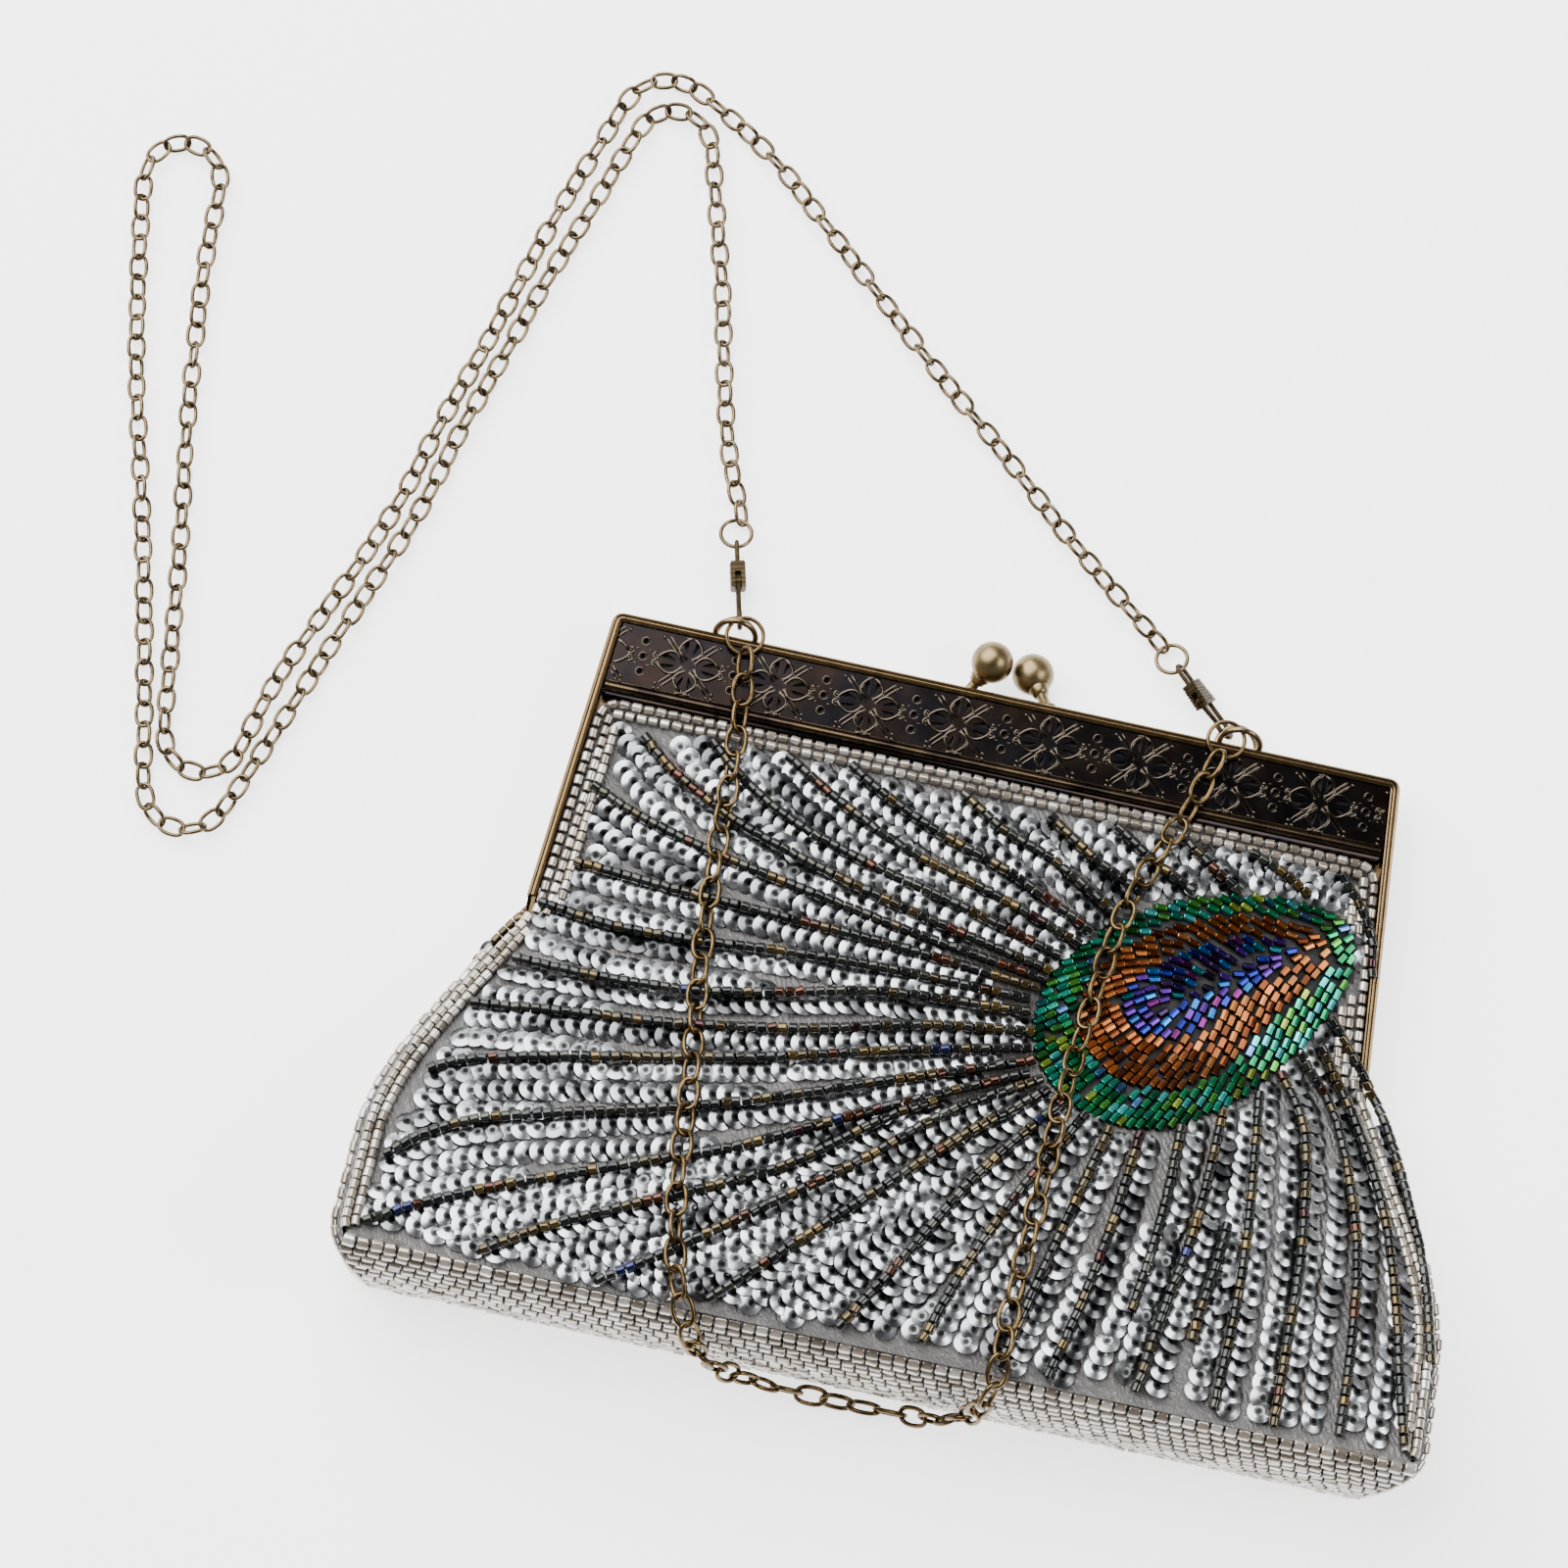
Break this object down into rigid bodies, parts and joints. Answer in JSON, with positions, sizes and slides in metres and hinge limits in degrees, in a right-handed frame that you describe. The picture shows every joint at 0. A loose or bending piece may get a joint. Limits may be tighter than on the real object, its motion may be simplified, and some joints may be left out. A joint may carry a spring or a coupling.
{
  "type": "evening bag",
  "caption": "Beaded soft evening bag on a hinged rectangular metal frame with a ball kiss clasp, a short wrist chain and a long clip-on shoulder chain.",
  "frame": {"origin": "Centre of the bag's own box at the resting face: X = 0 midway across the bag, Y = 0 on the frame's hinge line, Z = 0 at the back face it lies on. The free chains are left out of that box.", "axes": "+X across the bag to the right seen from the front, +Y from the base towards the frame and clasp, +Z out of the front panel; the bag lies on its back"},
  "size_m": [0.3566, 0.3096, 0.0486],
  "materials": {
    "antique_brass": "antiqued, satin",
    "brushed_brass": "brushed, aged",
    "bronze_plate": "dark bronze, polished high spots",
    "sequin_embroidery": "silver cup sequins and dark seed beads on satin",
    "clear_beadwork": "silver-lined clear seed beads",
    "satin_lining": "plain satin",
    "stiff_board": "plain",
    "spring_steel": "bright"
  },
  "bodies": {
    "rear_half": {"rear_frame": "antique_brass", "rear_plate": "bronze_plate", "rear_lip": "bronze_plate", "hinge_pins": "antique_brass", "rear_clasp": "brushed_brass", "rear_lug_left": "antique_brass", "rear_lug_right": "antique_brass", "short_chain": "antique_brass", "long_chain": "antique_brass", "long_ring_left": "antique_brass", "long_ring_right": "antique_brass", "left_hook": "antique_brass", "right_hook": "antique_brass", "gate_pins": "antique_brass", "left_gate_spring": "spring_steel", "right_gate_spring": "spring_steel", "front_panel_fold": "sequin_embroidery", "front_panel_lower": "sequin_embroidery", "rear_panel": "sequin_embroidery", "side_gusset_left": "clear_beadwork", "side_gusset_right": "clear_beadwork", "base_gusset": "clear_beadwork", "base_board": "stiff_board", "lining_front": "satin_lining", "lining_rear": "satin_lining", "lining_base": "satin_lining", "lining_left": "satin_lining", "lining_right": "satin_lining"},
    "front_half": {"front_frame": "antique_brass", "front_plate": "bronze_plate", "front_lip": "bronze_plate", "front_clasp": "brushed_brass", "front_lug_left": "antique_brass", "front_lug_right": "antique_brass", "short_ring_left": "antique_brass", "short_ring_right": "antique_brass", "front_panel_upper": "sequin_embroidery"},
    "left_gate": {"left_gate": "antique_brass"},
    "right_gate": {"right_gate": "antique_brass"}
  },
  "joints": [
    {"name": "frame_open", "type": "hinge", "parent": "rear_half", "child": "front_half", "pos_m": [0, 0, 0.007], "axis": [1, 0, 0], "range_deg": [0, 75], "deforming": ["short_chain", "front_panel_fold", "lining_front"]},
    {"name": "left_gate_swing", "type": "hinge", "parent": "rear_half", "child": "left_gate", "pos_m": [-0.06818, 0.09103, 0.0058], "axis": [0.9703, 0.2419, 0], "range_deg": [0, 15], "stiffness_Nm_per_rad": 0.004, "springref_deg": -8.59, "deforming": ["left_gate_spring"]},
    {"name": "right_gate_swing", "type": "hinge", "parent": "rear_half", "child": "right_gate", "pos_m": [0.04524, 0.08619, 0.00544], "axis": [0.5587, 0.5991, 0.5736], "range_deg": [0, 15], "stiffness_Nm_per_rad": 0.004, "springref_deg": -8.59, "deforming": ["right_gate_spring"]}
  ]
}
